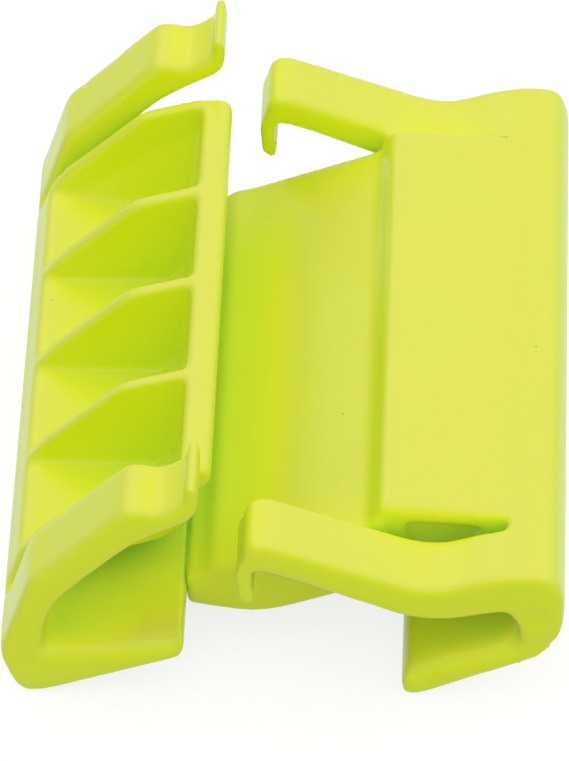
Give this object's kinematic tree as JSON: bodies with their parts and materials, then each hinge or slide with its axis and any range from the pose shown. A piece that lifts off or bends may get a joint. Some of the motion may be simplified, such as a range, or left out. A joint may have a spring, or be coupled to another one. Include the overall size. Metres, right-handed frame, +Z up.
{
  "type": "lip grip",
  "caption": "Moulded spring clip with two jaws on a living hinge, slotted end arms with hooks, a ribbed grip and a raised flat pad.",
  "frame": {"origin": "middle of the footprint, on the surface that the clip stands on", "axes": "+X from the left jaw to the right jaw, +Y along the hinge line, +Z up"},
  "size_m": [0.0504, 0.063, 0.0273],
  "materials": {
    "lime_plastic": "satin, slightly translucent lime-yellow moulded plastic"
  },
  "bodies": {
    "bridge": {"bridge_web": "lime_plastic", "hinge_skin": "lime_plastic", "pad_plate": "lime_plastic", "pad_leg": "lime_plastic", "pad_end_near": "lime_plastic", "pad_end_far": "lime_plastic", "right_wall": "lime_plastic"},
    "left_jaw": {"left_flap": "lime_plastic"},
    "left_near_arm": {"left_near_arm": "lime_plastic"},
    "left_far_arm": {"left_far_arm": "lime_plastic"},
    "grip": {"grip_pan": "lime_plastic", "grip_rim": "lime_plastic", "grip_rib_1": "lime_plastic", "grip_rib_2": "lime_plastic", "grip_rib_3": "lime_plastic", "grip_rib_4": "lime_plastic", "grip_rib_5": "lime_plastic"},
    "right_near_arm": {"right_near_arm": "lime_plastic"},
    "right_far_arm": {"right_far_arm": "lime_plastic"},
    "right_flap": {"right_flap": "lime_plastic"}
  },
  "joints": [
    {"name": "jaw_fold", "type": "hinge", "parent": "bridge", "child": "left_jaw", "pos_m": [-0.0082, 0, 0.0073], "axis": [0, 1, 0], "range_deg": [0, 32], "stiffness_Nm_per_rad": 0.3},
    {"name": "left_near_flex", "type": "hinge", "parent": "left_jaw", "child": "left_near_arm", "pos_m": [-0.02326, -0.0283, 0.00625], "axis": [0, 1, 0], "range_deg": [-5, 0], "stiffness_Nm_per_rad": 0.8},
    {"name": "left_far_flex", "type": "hinge", "parent": "left_jaw", "child": "left_far_arm", "pos_m": [-0.02326, 0.0283, 0.00625], "axis": [0, 1, 0], "range_deg": [-5, 0], "stiffness_Nm_per_rad": 0.8},
    {"name": "grip_flex", "type": "hinge", "parent": "left_jaw", "child": "grip", "pos_m": [-0.02326, 0, 0.00625], "axis": [0, 1, 0], "range_deg": [-4, 2], "stiffness_Nm_per_rad": 2},
    {"name": "right_near_flex", "type": "hinge", "parent": "bridge", "child": "right_near_arm", "pos_m": [0.02005, -0.0283, 0.01355], "axis": [0, 1, 0], "range_deg": [-4, 0], "stiffness_Nm_per_rad": 0.8},
    {"name": "right_far_flex", "type": "hinge", "parent": "bridge", "child": "right_far_arm", "pos_m": [0.02005, 0.0283, 0.01355], "axis": [0, 1, 0], "range_deg": [-4, 0], "stiffness_Nm_per_rad": 0.8},
    {"name": "right_flap_flex", "type": "hinge", "parent": "bridge", "child": "right_flap", "pos_m": [0.02285, 0, 0.00735], "axis": [0, 1, 0], "range_deg": [-4, 4], "stiffness_Nm_per_rad": 2}
  ]
}
